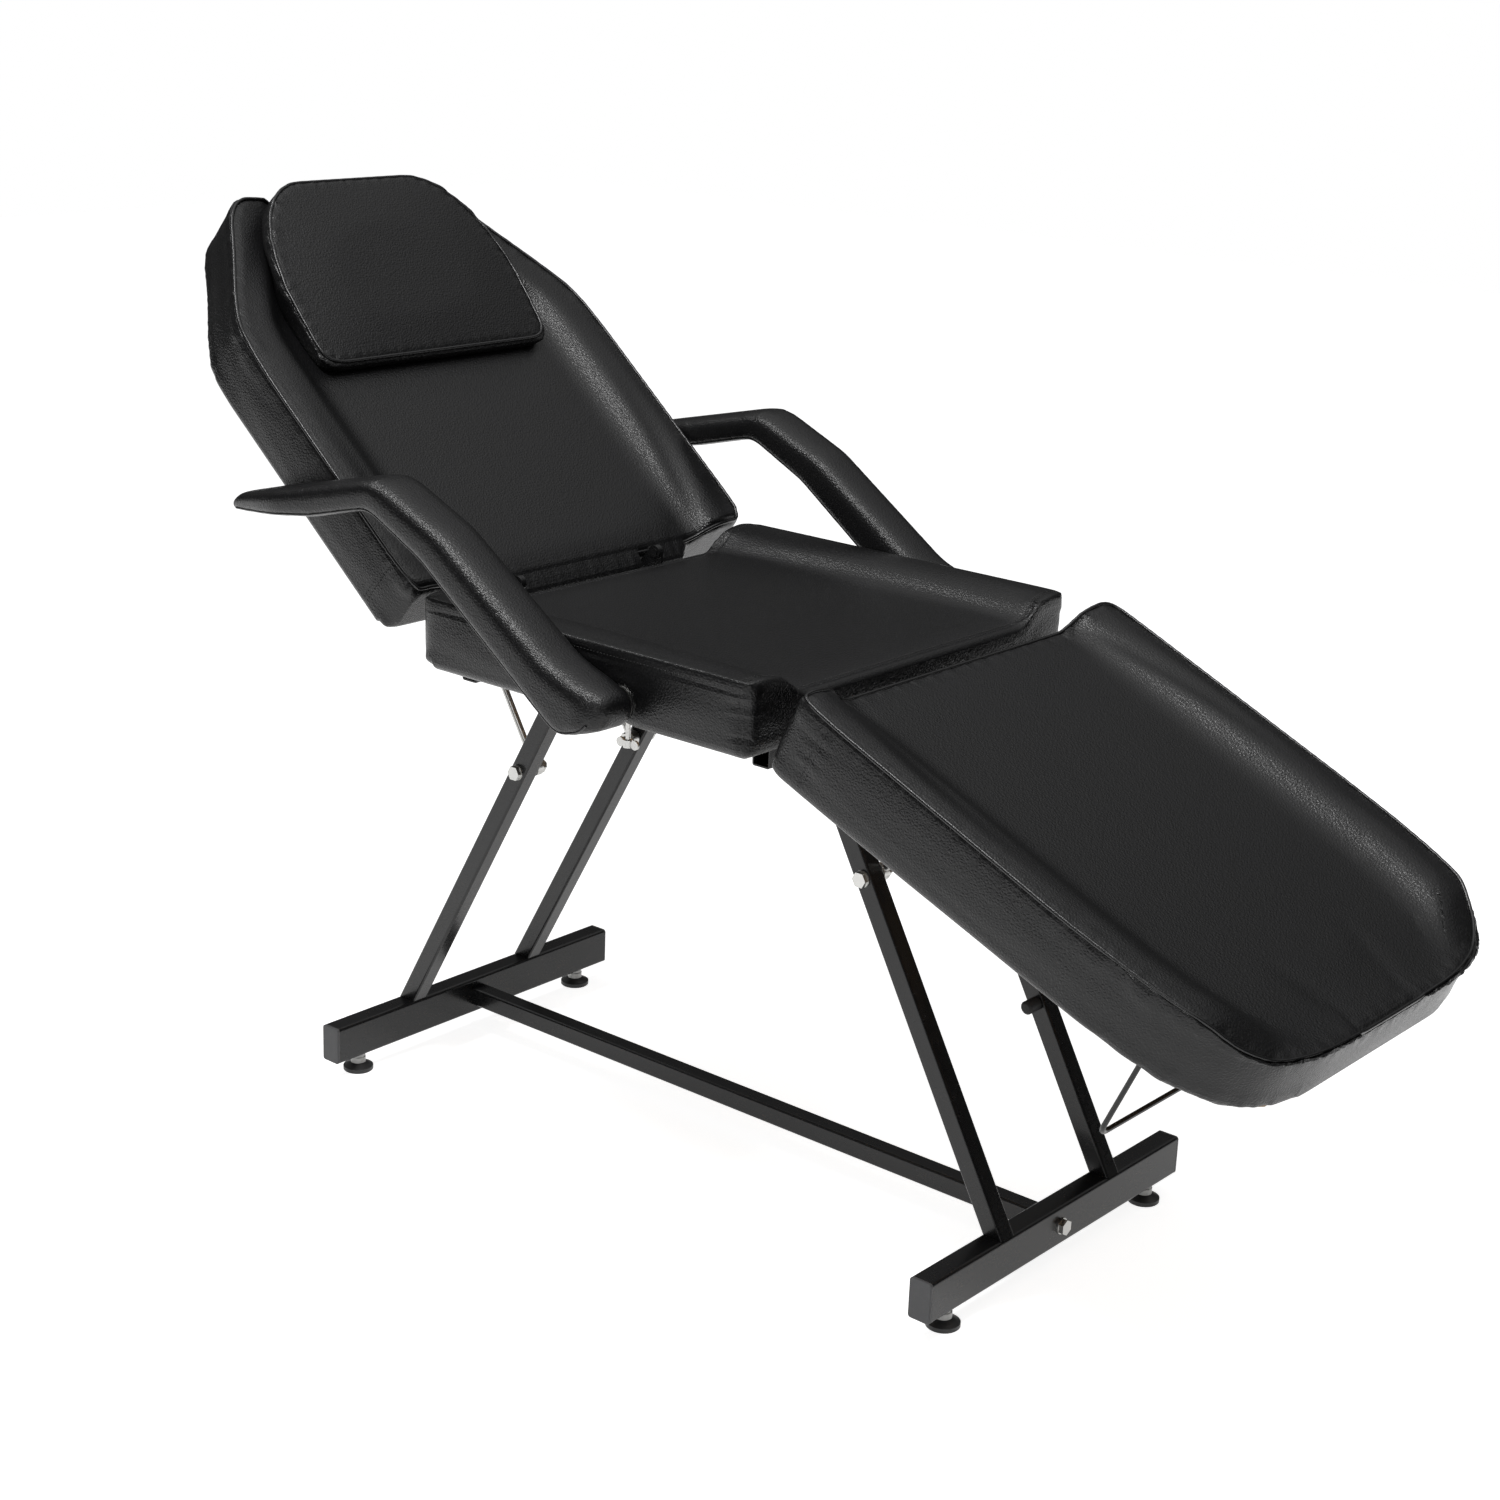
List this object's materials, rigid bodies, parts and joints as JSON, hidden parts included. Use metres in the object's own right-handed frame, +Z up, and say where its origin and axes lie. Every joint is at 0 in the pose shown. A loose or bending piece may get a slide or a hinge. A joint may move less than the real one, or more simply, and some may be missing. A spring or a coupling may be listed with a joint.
{
  "type": "tattoo chair",
  "caption": "Three-section padded bed-chair with tilting backrest and leg rest, removable headrest, sliding armrests and an A-leg steel base.",
  "frame": {"origin": "on the floor, under the middle of the bounding box at rest", "axes": "+X from the head end to the foot end, +Y to the far armrest, +Z up"},
  "size_m": [1.7066, 0.764, 1.1482],
  "materials": {
    "vinyl": "satin",
    "frame_paint": "gloss",
    "zinc": "satin",
    "chrome": "polished",
    "cap_plastic": "matte",
    "foot_plastic": "matte",
    "peg_rubber": "matte",
    "plywood": "raw"
  },
  "bodies": {
    "armrest_far": {"arm_bar_far": "chrome", "arm_pad_far": "vinyl"},
    "armrest_near": {"arm_bar_near": "chrome", "arm_pad_near": "vinyl"},
    "base": {"arm_socket_far": "zinc", "arm_socket_near": "zinc", "back_hinge_far": "frame_paint", "back_hinge_near": "frame_paint", "beam": "frame_paint", "beam_bolt_front": "zinc", "beam_bolt_rear": "zinc", "foot_cap_front_far": "cap_plastic", "foot_cap_front_near": "cap_plastic", "foot_cap_rear_far": "cap_plastic", "foot_cap_rear_near": "cap_plastic", "foot_front": "frame_paint", "foot_rear": "frame_paint", "leg_bolt_front_far": "zinc", "leg_bolt_front_near": "zinc", "leg_bolt_rear_far": "zinc", "leg_bolt_rear_near": "zinc", "leg_front_far": "frame_paint", "leg_front_near": "frame_paint", "leg_hinge_far": "frame_paint", "leg_hinge_near": "frame_paint", "leg_rear_far": "frame_paint", "leg_rear_near": "frame_paint", "peg": "peg_rubber", "seat_board": "plywood", "seat_cross_front": "frame_paint", "seat_cross_rear": "frame_paint", "seat_cushion": "vinyl", "seat_rail_far": "frame_paint", "seat_rail_near": "frame_paint"},
    "backrest": {"back_board": "plywood", "back_cross": "frame_paint", "back_cushion": "vinyl", "back_rail_far": "frame_paint", "back_rail_near": "frame_paint", "back_sector_far": "frame_paint", "back_sector_near": "frame_paint"},
    "back_stay": {"back_stay": "zinc"},
    "headrest": {"headrest": "vinyl"},
    "leg_rest": {"leg_rest_board": "plywood", "leg_rest_cross": "frame_paint", "leg_rest_cushion": "vinyl", "leg_rest_rail_far": "frame_paint", "leg_rest_rail_near": "frame_paint", "leg_rest_sector_far": "frame_paint", "leg_rest_sector_near": "frame_paint", "wire_rail": "frame_paint"},
    "leg_rest_stay": {"leg_rest_stay": "zinc"},
    "leveller_front_far": {"leveller_front_far": "foot_plastic"},
    "leveller_front_near": {"leveller_front_near": "foot_plastic"},
    "leveller_rear_far": {"leveller_rear_far": "foot_plastic"},
    "leveller_rear_near": {"leveller_rear_near": "foot_plastic"},
    "wing_screw_far": {"wing_screw_far": "zinc"},
    "wing_screw_near": {"wing_screw_near": "zinc"}
  },
  "joints": [
    {"name": "backrest_hinge", "type": "hinge", "parent": "base", "child": "backrest", "pos_m": [-0.31613, 0, 0.7], "axis": [0, 1, 0], "range_deg": [-40, 30]},
    {"name": "back_stay_pivot", "type": "hinge", "parent": "base", "child": "back_stay", "pos_m": [-0.32011, 0, 0.45], "axis": [0, 1, 0], "range_deg": [-16, 12]},
    {"name": "leg_rest_hinge", "type": "hinge", "parent": "base", "child": "leg_rest", "pos_m": [0.25187, 0, 0.6], "axis": [0, 1, 0], "range_deg": [-24, 26]},
    {"name": "leg_stay_pivot", "type": "hinge", "parent": "base", "child": "leg_rest_stay", "pos_m": [0.23708, 0, 0.455], "axis": [0, 1, 0], "range_deg": [-31.2, 33.8]},
    {"name": "headrest_lift", "type": "slide", "parent": "backrest", "child": "headrest", "axis": [0.6428, 0, 0.766], "range_m": [0, 0.1]},
    {"name": "armrest_near_slide", "type": "slide", "parent": "base", "child": "armrest_near", "axis": [0, -1, 0], "range_m": [0, 0.12]},
    {"name": "wing_screw_near_turn", "type": "hinge", "parent": "base", "child": "wing_screw_near", "pos_m": [0.02187, -0.29, 0.604], "axis": [0, 0, 1], "continuous": true},
    {"name": "armrest_far_slide", "type": "slide", "parent": "base", "child": "armrest_far", "axis": [0, 1, 0], "range_m": [0, 0.12]},
    {"name": "wing_screw_far_turn", "type": "hinge", "parent": "base", "child": "wing_screw_far", "pos_m": [0.02187, 0.29, 0.604], "axis": [0, 0, 1], "continuous": true},
    {"name": "leveller_rear_near_height", "type": "slide", "parent": "base", "child": "leveller_rear_near", "axis": [0, 0, -1], "range_m": [0, 0.012]},
    {"name": "leveller_rear_far_height", "type": "slide", "parent": "base", "child": "leveller_rear_far", "axis": [0, 0, -1], "range_m": [0, 0.012]},
    {"name": "leveller_front_near_height", "type": "slide", "parent": "base", "child": "leveller_front_near", "axis": [0, 0, -1], "range_m": [0, 0.012]},
    {"name": "leveller_front_far_height", "type": "slide", "parent": "base", "child": "leveller_front_far", "axis": [0, 0, -1], "range_m": [0, 0.012]}
  ],
  "couplings": [
    {"joint": "back_stay_pivot", "follows": "backrest_hinge", "ratio": 0.4},
    {"joint": "leg_stay_pivot", "follows": "leg_rest_hinge", "ratio": 1.3}
  ]
}
